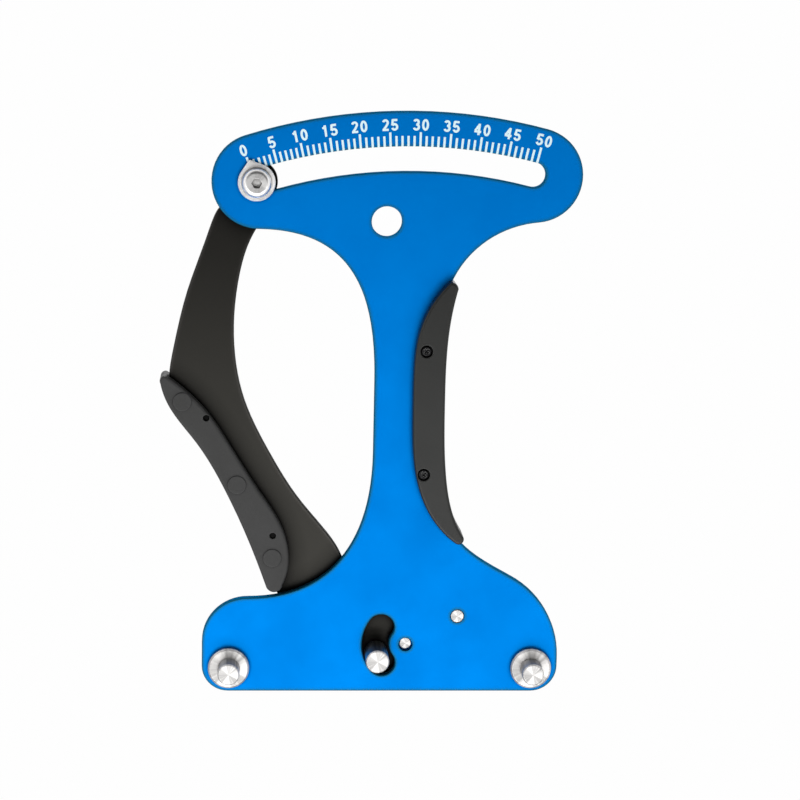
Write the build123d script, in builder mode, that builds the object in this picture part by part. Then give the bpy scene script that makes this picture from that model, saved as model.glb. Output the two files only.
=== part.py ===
from build123d import *
import os
from math import atan2, cos, degrees, hypot, pi, radians, sin, sqrt

# Spoke tension meter. X runs to the right, Y to the rear and Z up along the neck.
# The origin is the centre of the hang hole, halfway through the front plate.
# Sizes are in millimetres and angles in degrees.

# ---- front plate
plate_thickness = 3.0
plate_edge_chamfer = 0.3
hang_hole_radius = 5.0
pivot_offset_x = 9.1
hang_to_pivot = 142.85
pivot_to_base = 16.35
base_width = 120.0
base_centre_x = 0.7
base_corner_radius = 8.8
left_shoulder_radius = 15.2
left_shoulder_top = 32.4
right_shoulder_radius = 31.4
right_shoulder_height = 12.2
right_shoulder_angle = 61.2
neck_left_x = -3.0
neck_width = 22.1
neck_top_left_drop = 53.0
neck_top_right_drop = 32.6
neck_bottom_left_rise = 82.2
neck_bottom_right_rise = 79.2

# ---- flanks between head, neck and base: how far each curve leans on its two tangents
upper_left_lean = (28.3, 33.0)
lower_left_lean = (36.1, 23.2)
upper_right_lean = (17.5, 17.5)
lower_right_lean = (18.4, 26.0)

# ---- head of the plate, concentric with the pivot
hang_to_dial = 20.5
head_half_height = 15.4
head_left_angle = 18.1
head_right_angle = 13.9
head_under_angle = -84.5
dial_slot_width = 8.1
rest_angle = 18.4
travel = 32.0

# ---- posts that the spoke lies on
post_inset = 9.0
post_to_base = 8.35
post_height = 6.75
fixed_post_radius = 3.65
post_flange_radius = 6.9
post_flange_thickness = 2.0
post_flange_chamfer = 0.6
post_edge_chamfer = 0.4
post_tenon_radius = 3.0
post_screw_radius = 2.0
post_screw_length = 7.2
post_thread_overrun = 0.8
post_screw_head_radius = 3.8
post_screw_head_height = 2.4
post_screw_socket_radius = 1.4
post_screw_socket_depth = 1.2
post_washer_radius = 5.0
post_washer_thickness = 0.8
moving_post_radius = 3.9
moving_post_offset = 10.4
moving_post_angle = 181.4
moving_tenon_radius = 2.75
post_slot_clearance = 0.6
post_slot_shift = 0.2
post_slot_spare_above = 22.9
post_slot_spare_below = 19.3

# ---- pivot stack
pivot_nose_radius = 1.9
pivot_counterbore_radius = 2.35
pivot_counterbore_depth = 1.7
pivot_nose_recess = 1.4
pivot_shaft_radius = 3.0
pivot_groove_depth = 0.7
pivot_spacer_radius = 5.1
lever_gap = 0.5
bush_wall = 1.1
bush_shoulder = 0.4
running_clearance = 0.05
pivot_washer_radius = 7.6
pivot_washer_thickness = 1.0
ring_radius = 5.2
ring_thickness = 0.8
ring_mouth = 3.6
pivot_tail = 0.9
pivot_tail_chamfer = 0.3

# ---- lever, drawn upright: points are across and up, from the pivot or, near the head, from the pointer
lever_thickness = 3.0
lever_edge_chamfer = 0.25
hub_radius = 15.5
hub_left_angle = 210.6
hub_top_angle = 93.6
hub_top_way = -41.4
lever_head_radius = 6.9
head_left_side_angle = 151.6
head_crown_angle = 60.6
head_right_side_angle = -30.4
head_left_way = 61.6
head_right_way = 239.6
outer_edge_low = [(-35.9, 30.0), (-37.4, 48.0), (-41.8, 79.4), (-48.4, 102.5), (-47.1, 110.8)]
outer_edge_high = [(-43.4, -44.9), (-33.0, -27.9), (-20.9, -12.1), (-14.2, -4.6)]
inner_edge_low = [(-11.9, 38.0), (-18.7, 56.8), (-23.6, 76.1), (-26.0, 95.9)]
inner_edge_high = [(-23.1, -47.6), (-15.6, -29.1), (-7.1, -16.8)]

# ---- return spring
wire_diameter = 1.8
coil_radius = 6.2
coil_pitch = 2.8
full_turns = 3
lever_leg_angle = 131.6
lever_leg_reach = 17.0
leg_overrun = 3.0
spring_seat_gap = 0.4
leg_clearance = 0.2
stud_radius = 1.5
stud_rim_radius = 2.3
anchor_radius = 2.35
anchor_rim_radius = 3.3
rim_thickness = 0.8
anchor_x = 17.3
anchor_z = 9.9

# ---- pointer
pointer_radius = 6.1
pointer_tip_reach = 7.6
pointer_tip_radius = 0.6
pointer_thickness = 1.0
pointer_edge_chamfer = 0.25
slide_clearance = 0.3
pointer_screw_radius = 2.5
pointer_thread_overrun = 0.8
pointer_head_radius = 4.75
pointer_head_height = 2.75
pointer_head_round = 1.6
pointer_socket_radius = 1.75
pointer_socket_depth = 1.6
nut_width = 8.0
nut_height = 4.0
nut_corner_chamfer = 0.5

# ---- grips: the body's is drawn from the neck's right edge, the lever's from the pivot, upright
grip_half_thickness = 4.5
grip_edge_round = 0.8
body_grip_centre_z = -62.0
body_grip_inner = [
    (1.9, 42.8), (-3.7, 36.0), (-7.7, 27.0), (-9.5, 12.0), (-9.5, -1.8), (-9.1, -13.8), (-5.2, -31.1),
    (1.3, -41.0), (5.5, -44.7),
]
body_grip_bottom = (7.7, -44.8)
body_grip_outer = [(8.1, -42.3), (4.6, -35.0), (2.1, -23.0), (1.0, 2.0), (2.2, 29.3), (4.5, 40.6)]
body_grip_top = (3.8, 42.2)
body_grip_screw_places = [(-5.5, 20.0), (-5.5, -21.3)]
lever_grip_inner = [
    (-47.7, 111.9), (-42.1, 103.4), (-38.6, 95.9), (-35.5, 85.0), (-30.6, 65.4), (-27.2, 50.6),
    (-28.1, 41.3), (-33.0, 32.9),
]
lever_grip_bottom = (-36.5, 31.3)
lever_grip_outer = [(-38.4, 33.9), (-39.0, 48.8), (-41.1, 68.7), (-45.4, 88.2), (-50.0, 102.5), (-50.2, 110.2)]
lever_grip_top = (-49.0, 112.1)
lever_grip_screw_places = [(-39.5, 94.7), (-30.9, 50.0)]
lever_grip_mark_places = [(-45.3, 102.3), (-36.9, 70.2), (-33.4, 42.8)]
grip_mark_radius = 3.0
grip_mark_height = 0.3
grip_screw_radius = 1.0
grip_hole_clearance = 0.1
grip_head_radius = 1.75
grip_head_height = 1.4
grip_head_round = 0.45
grip_head_recess = 0.5
grip_head_clearance = 0.35
grip_cross_width = 0.55
grip_cross_length = 2.0
grip_cross_depth = 0.8
grip_hole_floor = 1.2
grip_screw_end_gap = 0.3
grip_screw_recess = 0.9

# ---- places that follow from the sizes above
plate_front = -plate_thickness / 2
plate_rear = plate_thickness / 2
lever_front = plate_rear + lever_gap
lever_rear = lever_front + lever_thickness
lever_middle = (lever_front + lever_rear) / 2
neck_right_x = neck_left_x + neck_width
pivot = (pivot_offset_x, -hang_to_pivot)
dial_radius = hang_to_pivot + hang_to_dial
head_radius = dial_radius + head_half_height
base_left_x = base_centre_x - base_width / 2
base_right_x = base_centre_x + base_width / 2
base_bottom_z = -hang_to_pivot - pivot_to_base
post_z = base_bottom_z + post_to_base
fixed_posts = [(base_left_x + post_inset, post_z), (base_right_x - post_inset, post_z)]
post_rest_angle = moving_post_angle + rest_angle
forward = (Align.CENTER, Align.CENTER, Align.MIN)
rearward = (Align.CENTER, Align.CENTER, Align.MAX)


def layer(depth):
    """The plane square to Y at this depth, facing the front."""
    return Plane.XZ.offset(-depth)


def spot(point, depth):
    """A plane that faces the front, with its origin at an (x, z) point."""
    return Plane(origin=(point[0], depth, point[1]), x_dir=(1, 0, 0), z_dir=(0, -1, 0))


def spots(points, depth):
    return Locations(*[spot(point, depth) for point in points])


def around(centre, radius, angle):
    """The (x, z) point at this radius and angle, counted from +X towards +Z."""
    return (centre[0] + radius * cos(radians(angle)), centre[1] + radius * sin(radians(angle)))


def turned(centre, point):
    """Where a point drawn beside this centre, with the lever upright, lies with the lever at rest."""
    return around(centre, hypot(*point), degrees(atan2(point[1], point[0])) + rest_angle)


def lever_way(angle):
    return around((0, 0), 1, angle + rest_angle)


def on_lever(points):
    return [turned(pivot, point) for point in points]


def on_neck(points):
    return [(neck_right_x + x, body_grip_centre_z + z) for x, z in points]


def finish(piece, name):
    piece.part.label = name
    export_step(piece.part, f"parts/{name}.step")


os.makedirs("parts", exist_ok=True)
moving_post_point = around(pivot, moving_post_offset, post_rest_angle)
pointer_point = around(pivot, dial_radius, 90 + rest_angle)
anchor_point = (pivot[0] + anchor_x, pivot[1] + anchor_z)
body_grip_screw_points = on_neck(body_grip_screw_places)
lever_grip_screw_points = on_lever(lever_grip_screw_places)
lever_grip_mark_points = on_lever(lever_grip_mark_places)

# ---- outline of the front plate
left_cap = around(pivot, dial_radius, 90 + head_left_angle)
right_cap = around(pivot, dial_radius, 90 - head_right_angle)
left_shoulder = (base_left_x + left_shoulder_radius, base_bottom_z + left_shoulder_top - left_shoulder_radius)
right_shoulder = (base_right_x - right_shoulder_radius, base_bottom_z + right_shoulder_height)
left_corner = (base_left_x + base_corner_radius, base_bottom_z + base_corner_radius)
right_corner = (base_right_x - base_corner_radius, base_bottom_z + base_corner_radius)
neck_top_left = (neck_left_x, -neck_top_left_drop)
neck_top_right = (neck_right_x, -neck_top_right_drop)
neck_bottom_left = (neck_left_x, base_bottom_z + neck_bottom_left_rise)
neck_bottom_right = (neck_right_x, base_bottom_z + neck_bottom_right_rise)


def flank(start, start_angle, end, end_angle, lean):
    """A curve that leaves start and reaches end along the two angles."""
    return Bezier(start, around(start, lean[0], start_angle), around(end, -lean[1], end_angle), end)


with BuildSketch(layer(plate_rear)) as plate_outline:
    with BuildLine():
        CenterArc(pivot, head_radius, 90 - head_right_angle, head_left_angle + head_right_angle)
        CenterArc(left_cap, head_half_height, 90 + head_left_angle, 180 - head_left_angle)
        flank(around(left_cap, head_half_height, 270), 0, neck_top_left, 270, upper_left_lean)
        Line(neck_top_left, neck_bottom_left)
        flank(
            neck_bottom_left, 270,
            around(left_shoulder, left_shoulder_radius, 90), 180, lower_left_lean,
        )
        CenterArc(left_shoulder, left_shoulder_radius, 90, 90)
        Line((base_left_x, left_shoulder[1]), (base_left_x, left_corner[1]))
        CenterArc(left_corner, base_corner_radius, 180, 90)
        Line((left_corner[0], base_bottom_z), (right_corner[0], base_bottom_z))
        CenterArc(right_corner, base_corner_radius, 270, 90)
        Line((base_right_x, right_corner[1]), (base_right_x, right_shoulder[1]))
        CenterArc(right_shoulder, right_shoulder_radius, 0, right_shoulder_angle)
        flank(
            around(right_shoulder, right_shoulder_radius, right_shoulder_angle), right_shoulder_angle + 90,
            neck_bottom_right, 90, lower_right_lean,
        )
        Line(neck_bottom_right, neck_top_right)
        flank(
            neck_top_right, 90,
            around(right_cap, head_half_height, head_under_angle), head_under_angle + 90, upper_right_lean,
        )
        CenterArc(right_cap, head_half_height, head_under_angle, 90 - head_right_angle - head_under_angle)
    make_face()

# ---- front plate with its dial slot, post slot and holes
dial_slot_arc = CenterArc(pivot, dial_radius, 90 + rest_angle - travel, travel, mode=Mode.PRIVATE)
post_slot_start = post_rest_angle - travel - post_slot_spare_above
post_slot_sweep = post_slot_spare_below + travel + post_slot_spare_above
post_slot_radius = moving_post_offset - post_slot_shift
post_slot_arc = CenterArc(pivot, post_slot_radius, post_slot_start, post_slot_sweep, mode=Mode.PRIVATE)

with BuildPart() as body_plate:
    with BuildSketch(layer(plate_rear)):
        add(plate_outline.sketch)
        SlotArc(dial_slot_arc, dial_slot_width, mode=Mode.SUBTRACT)
        SlotArc(post_slot_arc, 2 * (moving_post_radius + post_slot_clearance), mode=Mode.SUBTRACT)
    extrude(amount=plate_thickness)
    face_edges = [body_plate.faces().sort_by(Axis.Y)[side].edges() for side in (0, -1)]
    chamfer(face_edges[0] + face_edges[1], plate_edge_chamfer)
    with spots([(0, 0)], plate_front):
        Hole(hang_hole_radius)
    with spots([pivot], plate_front):
        CounterBoreHole(pivot_nose_radius, pivot_counterbore_radius, pivot_counterbore_depth)
    with spots([anchor_point], plate_front):
        Hole(anchor_radius)
    with spots(fixed_posts, plate_front):
        Hole(post_tenon_radius)
    with spots(body_grip_screw_points, plate_front):
        Hole(grip_screw_radius + grip_hole_clearance)
finish(body_plate, "body_plate")

# ---- fixed posts, each a flanged post on a tenon, held from the rear by a screw and washer
post_bore_radius = post_screw_radius + running_clearance
post_bore_depth = post_screw_length - post_washer_thickness + post_thread_overrun
washer_rear = plate_rear + post_washer_thickness


def fixed_post(point):
    with BuildPart() as post:
        with spots([point], plate_rear):
            Cylinder(post_tenon_radius, plate_thickness, align=forward)
        with spots([point], plate_front):
            Cylinder(post_flange_radius, post_flange_thickness, align=forward)
        rim = post.edges().filter_by(GeomType.CIRCLE).sort_by(Axis.Y)[0]
        chamfer(rim, post_flange_chamfer)
        with spots([point], plate_front - post_flange_thickness):
            Cylinder(fixed_post_radius, post_height, align=forward)
        top = post.edges().filter_by(GeomType.CIRCLE).sort_by(Axis.Y)[0]
        chamfer(top, post_edge_chamfer)
        with spots([point], plate_rear):
            Cylinder(post_bore_radius, post_bore_depth, align=forward, mode=Mode.SUBTRACT)
    return post


for side, post_point in zip(("left", "right"), fixed_posts):
    finish(fixed_post(post_point), f"fixed_post_{side}")

with BuildPart() as fixed_post_washers:
    with spots(fixed_posts, plate_rear):
        Cylinder(post_washer_radius, post_washer_thickness, align=rearward)
        Cylinder(post_bore_radius, post_washer_thickness, align=rearward, mode=Mode.SUBTRACT)
finish(fixed_post_washers, "fixed_post_washers")

with BuildPart() as fixed_post_screws:
    with spots(fixed_posts, washer_rear):
        Cylinder(post_screw_head_radius, post_screw_head_height, align=rearward)
    domes = fixed_post_screws.edges().filter_by(GeomType.CIRCLE).group_by(Axis.Y)[-1]
    fillet(domes, post_screw_head_height / 2)
    with spots(fixed_posts, washer_rear):
        Cylinder(post_screw_radius, post_screw_length, align=forward)
    with BuildSketch(layer(washer_rear + post_screw_head_height)):
        with Locations(*fixed_posts):
            RegularPolygon(post_screw_socket_radius, 6)
    extrude(amount=post_screw_socket_depth, mode=Mode.SUBTRACT)
finish(fixed_post_screws, "fixed_post_screws")

# ---- return spring: the fixed leg lies against the anchor pin, and the other against the lever's stud
leg_gap = coil_radius + wire_diameter / 2 + leg_clearance
anchor_reach = hypot(anchor_x, anchor_z)
anchor_leg_offset = leg_gap + anchor_radius
anchor_leg_length = sqrt(anchor_reach**2 - anchor_leg_offset**2)
anchor_leg_angle = degrees(atan2(anchor_z, anchor_x) + atan2(anchor_leg_offset, anchor_leg_length))
sweep_start = lever_leg_angle + rest_angle + 90
sweep_total = (anchor_leg_angle - 90 - sweep_start) % 360 + 360 * full_turns
steps = round(sweep_total / 90)
step_angle = sweep_total / steps
step_rise = coil_pitch / 4
coil_front = lever_rear + spring_seat_gap + wire_diameter / 2
coil_rear = coil_front + step_rise * (steps - 1)

# ---- pivot: a stepped pin pressed into the plate, with a spacer in front of the lever
pivot_bore_radius = pivot_shaft_radius + running_clearance
pivot_groove_radius = pivot_shaft_radius - pivot_groove_depth
bush_radius = pivot_bore_radius + bush_wall
sleeve_rear = coil_rear + wire_diameter / 2 + spring_seat_gap
pivot_washer_front = sleeve_rear + running_clearance
ring_front = pivot_washer_front + pivot_washer_thickness + running_clearance
ring_rear = ring_front + ring_thickness

with BuildPart() as pivot_pin:
    with spots([pivot], plate_rear):
        Cylinder(pivot_nose_radius, plate_thickness - pivot_nose_recess, align=forward)
        Cylinder(pivot_shaft_radius, ring_rear + pivot_tail - plate_rear, align=rearward)
    tail = pivot_pin.edges().filter_by(GeomType.CIRCLE).sort_by(Axis.Y)[-1]
    chamfer(tail, pivot_tail_chamfer)
    with BuildSketch(layer(ring_rear + running_clearance)):
        with Locations(pivot):
            Circle(pivot_shaft_radius)
            Circle(pivot_groove_radius, mode=Mode.SUBTRACT)
    extrude(amount=ring_thickness + 2 * running_clearance, mode=Mode.SUBTRACT)
finish(pivot_pin, "pivot_pin")

with BuildPart() as pivot_spacer:
    with spots([pivot], plate_rear):
        Cylinder(pivot_spacer_radius, lever_gap, align=rearward)
        Cylinder(pivot_bore_radius, lever_gap, align=rearward, mode=Mode.SUBTRACT)
finish(pivot_spacer, "pivot_spacer")

with BuildPart() as pivot_bush:
    with spots([pivot], lever_front):
        Cylinder(bush_radius, lever_thickness, align=rearward)
    with spots([pivot], lever_rear):
        Cylinder(bush_radius + bush_shoulder, sleeve_rear - lever_rear, align=rearward)
    with spots([pivot], lever_front):
        Cylinder(pivot_bore_radius, sleeve_rear - lever_front, align=rearward, mode=Mode.SUBTRACT)
finish(pivot_bush, "pivot_bush")

with BuildPart() as pivot_washer:
    with spots([pivot], pivot_washer_front):
        Cylinder(pivot_washer_radius, pivot_washer_thickness, align=rearward)
        Cylinder(pivot_bore_radius, pivot_washer_thickness, align=rearward, mode=Mode.SUBTRACT)
finish(pivot_washer, "pivot_washer")

with BuildPart() as pivot_retaining_ring:
    with BuildSketch(layer(ring_rear)):
        with Locations(pivot):
            Circle(ring_radius)
            Circle(pivot_groove_radius + running_clearance, mode=Mode.SUBTRACT)
            Rectangle(ring_mouth, ring_radius, align=(Align.CENTER, Align.MAX), mode=Mode.SUBTRACT)
    extrude(amount=ring_thickness)
finish(pivot_retaining_ring, "pivot_retaining_ring")

# ---- lever
hub_left = around(pivot, hub_radius, hub_left_angle + rest_angle)
hub_right = around(pivot, hub_radius, (hub_left_angle - 360 + hub_top_angle) / 2 + rest_angle)
hub_top = around(pivot, hub_radius, hub_top_angle + rest_angle)
head_left_side, head_crown, head_right_side = [
    around(pointer_point, lever_head_radius, angle + rest_angle)
    for angle in (head_left_side_angle, head_crown_angle, head_right_side_angle)
]
outer_edge = on_lever(outer_edge_low) + [turned(pointer_point, point) for point in outer_edge_high]
inner_edge = on_lever(inner_edge_low) + [turned(pointer_point, point) for point in inner_edge_high]

with BuildSketch(layer(lever_rear)) as lever_outline:
    with BuildLine():
        Spline(
            hub_left, *outer_edge, head_left_side,
            tangents=(lever_way(hub_left_angle - 90), lever_way(head_left_way)),
        )
        ThreePointArc(head_left_side, head_crown, head_right_side)
        Spline(
            head_right_side, *inner_edge[::-1], hub_top,
            tangents=(lever_way(head_right_way), lever_way(hub_top_way)),
        )
        ThreePointArc(hub_top, hub_right, hub_left)
    make_face()

stud_foot = around(pivot, lever_leg_reach, lever_leg_angle + rest_angle)
stud_point = around(stud_foot, leg_gap + stud_radius, lever_leg_angle + rest_angle + 90)

with BuildPart() as lever_plate:
    with BuildSketch(layer(lever_rear)):
        add(lever_outline.sketch)
    extrude(amount=lever_thickness)
    face_edges = [lever_plate.faces().sort_by(Axis.Y)[side].edges() for side in (0, -1)]
    chamfer(face_edges[0] + face_edges[1], lever_edge_chamfer)
    with spots([pivot], lever_front):
        Hole(bush_radius)
    with spots([moving_post_point], lever_front):
        Hole(moving_tenon_radius)
    with spots([pointer_point], lever_front):
        Hole(pointer_screw_radius + running_clearance)
    with spots([stud_point], lever_front):
        Hole(stud_radius)
    with spots(lever_grip_screw_points, lever_front):
        Hole(grip_screw_radius + grip_hole_clearance)
finish(lever_plate, "lever_plate")

# ---- moving post, staked in the lever and reaching through the plate's post slot
post_end = plate_front - post_flange_thickness - post_height
with BuildPart() as moving_post:
    with spots([moving_post_point], lever_rear):
        Cylinder(moving_tenon_radius, lever_thickness, align=forward)
    with spots([moving_post_point], lever_front):
        Cylinder(moving_post_radius, lever_front - post_end, align=forward)
    top = moving_post.edges().filter_by(GeomType.CIRCLE).sort_by(Axis.Y)[0]
    chamfer(top, post_edge_chamfer)
finish(moving_post, "moving_post")

# ---- rimmed pins for the two legs of the spring
with BuildPart() as spring_anchor_pin:
    with spots([anchor_point], plate_front):
        Cylinder(anchor_radius, sleeve_rear - plate_front, align=rearward)
    with spots([anchor_point], sleeve_rear):
        Cylinder(anchor_rim_radius, rim_thickness, align=rearward)
    front_rim = spring_anchor_pin.edges().filter_by(GeomType.CIRCLE).sort_by(Axis.Y)[0]
    chamfer(front_rim, plate_edge_chamfer)
finish(spring_anchor_pin, "spring_anchor_pin")

stud_rear = coil_front + wire_diameter / 2 + spring_seat_gap
with BuildPart() as lever_spring_stud:
    with spots([stud_point], lever_front):
        Cylinder(stud_radius, stud_rear - lever_front, align=rearward)
    with spots([stud_point], stud_rear):
        Cylinder(stud_rim_radius, rim_thickness, align=rearward)
finish(lever_spring_stud, "lever_spring_stud")


# ---- the spring's wire is wound round the bush, in turns made of quarter-turn biarcs
def biarc(start, start_way, end, end_way):
    span = end - start
    along = span.dot(start_way + end_way)
    bend = 2 * (start_way.dot(end_way) - 1)
    reach = (along - sqrt(along**2 - bend * span.dot(span))) / bend
    knee_start = start + start_way * reach
    knee_end = end - end_way * reach
    middle = (knee_start + knee_end) / 2
    TangentArc(start, middle, tangent=start_way)
    TangentArc(middle, end, tangent=knee_end - knee_start)


def wire_point(step):
    x, z = around(pivot, coil_radius, sweep_start + step_angle * step)
    rise = min(max(step - 0.5, 0), steps - 1)
    return Vector(x, coil_front + step_rise * rise, z)


def wire_way(step):
    angle = radians(sweep_start + step_angle * step)
    slope = step_rise / (coil_radius * radians(step_angle)) if 0 < step < steps else 0
    return Vector(-sin(angle), slope, cos(angle)).normalized()


wire_points = [wire_point(step) for step in range(steps + 1)]
wire_ways = [wire_way(step) for step in range(steps + 1)]
lever_leg_tip = wire_points[0] - wire_ways[0] * (lever_leg_reach + leg_overrun)
anchor_leg_tip = wire_points[-1] + wire_ways[-1] * (anchor_leg_length + leg_overrun)

with BuildPart() as torsion_spring:
    with BuildLine() as wire_path:
        Line(lever_leg_tip, wire_points[0])
        for step in range(steps):
            biarc(wire_points[step], wire_ways[step], wire_points[step + 1], wire_ways[step + 1])
        Line(wire_points[-1], anchor_leg_tip)
    with BuildSketch(Plane(origin=lever_leg_tip, z_dir=wire_ways[0])):
        Circle(wire_diameter / 2)
    sweep()
finish(torsion_spring, "torsion_spring")

wire_length = wire_path.wire().length
sample_count = 600
samples = [wire_path.wire().position_at(index / sample_count) for index in range(sample_count + 1)]
apart = round(2 * coil_radius * sample_count / wire_length)
least_gap = min(
    (samples[one] - samples[other]).length - wire_diameter
    for one in range(sample_count + 1) for other in range(one + apart, sample_count + 1)
)
wire_volume = wire_length * pi * wire_diameter**2 / 4
print(f"spring: {sweep_total / 360:.2f} turns, least gap between turns {least_gap:.2f} mm")
print(f"spring: volume {torsion_spring.part.volume:.2f}, section by length {wire_volume:.2f} cubic mm")

# ---- pointer: a tear-drop plate clamped on the lever through a guide bush in the dial slot
pointer_rear = plate_front - slide_clearance
pointer_front = pointer_rear - pointer_thickness
pointer_bore_radius = pointer_screw_radius + running_clearance
guide_radius = dial_slot_width / 2 - slide_clearance
nut_rear = lever_rear + nut_height
with BuildPart() as pointer_bush:
    with spots([pointer_point], lever_front):
        Cylinder(guide_radius, lever_front - pointer_rear, align=forward)
        Cylinder(pointer_bore_radius, lever_front - pointer_rear, align=forward, mode=Mode.SUBTRACT)
finish(pointer_bush, "pointer_bush")

with BuildPart() as pointer:
    with BuildSketch(layer(pointer_rear)):
        with Locations(pointer_point):
            Circle(pointer_radius)
        with Locations(around(pointer_point, pointer_tip_reach - pointer_tip_radius, 90 + rest_angle)):
            Circle(pointer_tip_radius)
        make_hull()
        with Locations(pointer_point):
            Circle(pointer_bore_radius, mode=Mode.SUBTRACT)
    extrude(amount=pointer_thickness)
    chamfer(pointer.faces().sort_by(Axis.Y)[0].outer_wire().edges(), pointer_edge_chamfer)
finish(pointer, "pointer")

with BuildPart() as pointer_screw:
    with spots([pointer_point], pointer_front):
        Cylinder(pointer_head_radius, pointer_head_height, align=forward)
    crown = pointer_screw.edges().filter_by(GeomType.CIRCLE).sort_by(Axis.Y)[0]
    fillet(crown, pointer_head_round)
    with spots([pointer_point], pointer_front):
        Cylinder(pointer_screw_radius, nut_rear + pointer_thread_overrun - pointer_front, align=rearward)
    with BuildSketch(layer(pointer_front - pointer_head_height)):
        with Locations(pointer_point):
            RegularPolygon(pointer_socket_radius, 6)
    extrude(amount=-pointer_socket_depth, mode=Mode.SUBTRACT)
finish(pointer_screw, "pointer_screw")

with BuildPart() as pointer_nut:
    with spots([pointer_point], nut_rear):
        Cylinder(nut_width / sqrt(3), nut_height, align=forward)
    chamfer(pointer_nut.edges().filter_by(GeomType.CIRCLE).sort_by(Axis.Y)[-1], nut_corner_chamfer)
    with BuildSketch(layer(nut_rear)):
        with Locations(pointer_point):
            RegularPolygon(nut_width / 2, 6, major_radius=False)
            Circle(pointer_bore_radius, mode=Mode.SUBTRACT)
    extrude(amount=nut_height, mode=Mode.INTERSECT)
finish(pointer_nut, "pointer_nut")


# ---- grips: two moulded halves clamp each arm, and a lip on each half closes over the arm's edge
def grip_outline(place, inner, bottom, outer, top):
    inner, outer, (bottom, top) = place(inner), place(outer), place([bottom, top])
    with BuildSketch(Plane.XZ) as outline:
        with BuildLine():
            Spline(*inner)
            ThreePointArc(inner[-1], bottom, outer[0])
            Spline(*outer)
            ThreePointArc(outer[-1], top, inner[0])
        make_face()
    return outline.sketch


def grip_blank(outline, arm, slab_rear, lip_rear, lip_depth):
    """A slab on the arm's face, with a lip past the arm's edge as far as the arm's middle."""
    with BuildPart() as blank:
        with BuildSketch(layer(slab_rear)):
            add(outline)
        extrude(amount=grip_half_thickness)
        with BuildSketch(layer(lip_rear)):
            add(outline)
            add(arm, mode=Mode.SUBTRACT)
        extrude(amount=lip_depth)
    return blank.part


def grip_screws(points, seat, tip, side):
    """Cross-recessed screws; side is 1 where their heads face the front, and -1 at the rear."""
    heads, shanks = (forward, rearward) if side > 0 else (rearward, forward)
    with BuildPart() as screws:
        with spots(points, seat):
            Cylinder(grip_head_radius, grip_head_height, align=heads)
        rims = screws.edges().filter_by(GeomType.CIRCLE).group_by(Axis.Y)[0 if side > 0 else -1]
        fillet(rims, grip_head_round)
        with spots(points, seat):
            Cylinder(grip_screw_radius, abs(tip - seat), align=shanks)
        with BuildSketch(layer(seat - side * grip_head_height)):
            with Locations(*points):
                Rectangle(grip_cross_width, grip_cross_length, rotation=45)
                Rectangle(grip_cross_width, grip_cross_length, rotation=-45)
        extrude(amount=-side * grip_cross_depth, mode=Mode.SUBTRACT)
    return screws


head_seat_depth = grip_head_recess + grip_head_height
head_bore_radius = grip_head_radius + grip_head_clearance
shank_bore_radius = grip_screw_radius + grip_hole_clearance
blind_depth = grip_half_thickness - grip_hole_floor

body_grip = grip_outline(on_neck, body_grip_inner, body_grip_bottom, body_grip_outer, body_grip_top)
lever_grip = grip_outline(on_lever, lever_grip_inner, lever_grip_bottom, lever_grip_outer, lever_grip_top)

# ---- body grip, screwed together from the front
body_arm = plate_outline.sketch
body_lip = plate_thickness / 2
body_grip_front_end = plate_front - grip_half_thickness
body_grip_rear_end = plate_rear + grip_half_thickness

with BuildPart() as body_grip_front:
    add(grip_blank(body_grip, body_arm, plate_front, 0, body_lip))
    fillet(body_grip_front.faces().sort_by(Axis.Y)[0].edges(), grip_edge_round)
    with spots(body_grip_screw_points, body_grip_front_end):
        CounterBoreHole(shank_bore_radius, head_bore_radius, head_seat_depth, grip_half_thickness)
finish(body_grip_front, "body_grip_front")

with BuildPart() as body_grip_rear:
    add(grip_blank(body_grip, body_arm, body_grip_rear_end, plate_rear, body_lip))
    fillet(body_grip_rear.faces().sort_by(Axis.Y)[-1].edges(), grip_edge_round)
    with spots(body_grip_screw_points, plate_rear):
        Hole(shank_bore_radius, blind_depth)
finish(body_grip_rear, "body_grip_rear")

body_screw_seat = body_grip_front_end + head_seat_depth
body_screw_tip = plate_rear + blind_depth - grip_screw_end_gap
body_grip_screws = grip_screws(body_grip_screw_points, body_screw_seat, body_screw_tip, 1)
finish(body_grip_screws, "body_grip_screws")

# ---- lever grip, screwed together from the rear, with moulding marks on its front
lever_arm = lever_outline.sketch
lever_lip = lever_thickness / 2
lever_grip_front_end = lever_front - grip_half_thickness
lever_grip_rear_end = lever_rear + grip_half_thickness

with BuildPart() as lever_grip_front:
    add(grip_blank(lever_grip, lever_arm, lever_front, lever_middle, lever_lip))
    fillet(lever_grip_front.faces().sort_by(Axis.Y)[0].edges(), grip_edge_round)
    with spots(lever_grip_screw_points, lever_grip_front_end):
        Hole(shank_bore_radius, grip_half_thickness)
    with spots(lever_grip_mark_points, lever_grip_front_end):
        Cylinder(grip_mark_radius, grip_mark_height, align=forward)
finish(lever_grip_front, "lever_grip_front")

with BuildPart() as lever_grip_rear:
    add(grip_blank(lever_grip, lever_arm, lever_grip_rear_end, lever_rear, lever_lip))
    fillet(lever_grip_rear.faces().sort_by(Axis.Y)[-1].edges(), grip_edge_round)
    with Locations(*[-spot(point, lever_grip_rear_end) for point in lever_grip_screw_points]):
        CounterBoreHole(shank_bore_radius, head_bore_radius, head_seat_depth, grip_half_thickness)
finish(lever_grip_rear, "lever_grip_rear")

lever_screw_seat = lever_grip_rear_end - head_seat_depth
lever_screw_tip = lever_grip_front_end + grip_screw_recess
lever_grip_screws = grip_screws(lever_grip_screw_points, lever_screw_seat, lever_screw_tip, -1)
finish(lever_grip_screws, "lever_grip_screws")
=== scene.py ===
from math import atan2, ceil, cos, pi, radians, sin, sqrt

import bmesh
import bpy
from mathutils import Matrix, Quaternion, Vector


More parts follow.
